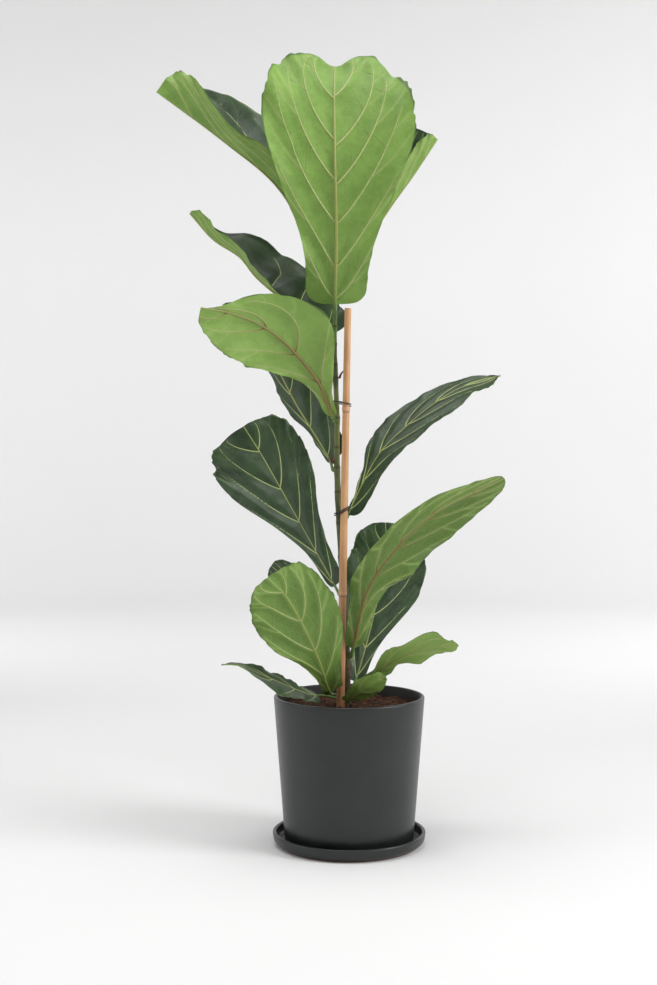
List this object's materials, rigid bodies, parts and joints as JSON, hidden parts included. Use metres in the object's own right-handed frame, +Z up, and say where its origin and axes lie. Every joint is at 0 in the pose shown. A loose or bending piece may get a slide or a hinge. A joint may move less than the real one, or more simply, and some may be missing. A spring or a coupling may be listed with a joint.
{
  "type": "potted plant",
  "caption": "Fiddle leaf fig: large violin-shaped leaves on a slender stem tied to a bamboo stake, in a tapered charcoal clay pot on a matching saucer",
  "frame": {"origin": "centre of the saucer's flat underside", "axes": "+Z up along the plant, front of the plant toward -Y, +X to the right as seen from the front"},
  "size_m": [0.5224, 0.3156, 1.1362],
  "materials": {
    "clay": "matt charcoal glaze with a soft sheen",
    "coir_soil": "loose reddish-brown coir potting mix",
    "bark": "green young bark that browns toward the foot",
    "cane": "smooth dry bamboo with two joints",
    "coated_wire": "black coated garden wire",
    "dry_scale": "papery dark red leaf scale",
    "leaf": "leathery leaf, glossy dark green above and matt light green below"
  },
  "bodies": {
    "root": {"saucer": "clay", "pot": "clay", "soil": "coir_soil", "stem": "bark", "stake": "cane", "tie_upper": "coated_wire", "tie_lower": "coated_wire", "scale_high": "dry_scale", "scale_middle": "dry_scale", "scale_low": "dry_scale", "leaf_top": "leaf", "leaf_high_left": "leaf", "leaf_high_right": "leaf", "leaf_upper_left": "leaf", "leaf_left_front": "leaf", "leaf_left_back": "leaf", "leaf_broad_left": "leaf", "leaf_low_front": "leaf", "leaf_low_back": "leaf", "leaf_right_front": "leaf", "leaf_right_back": "leaf", "leaf_right_upper": "leaf", "leaf_low_right": "leaf", "leaf_small_front": "leaf", "leaf_rim_left": "leaf"}
  },
  "joints": []
}
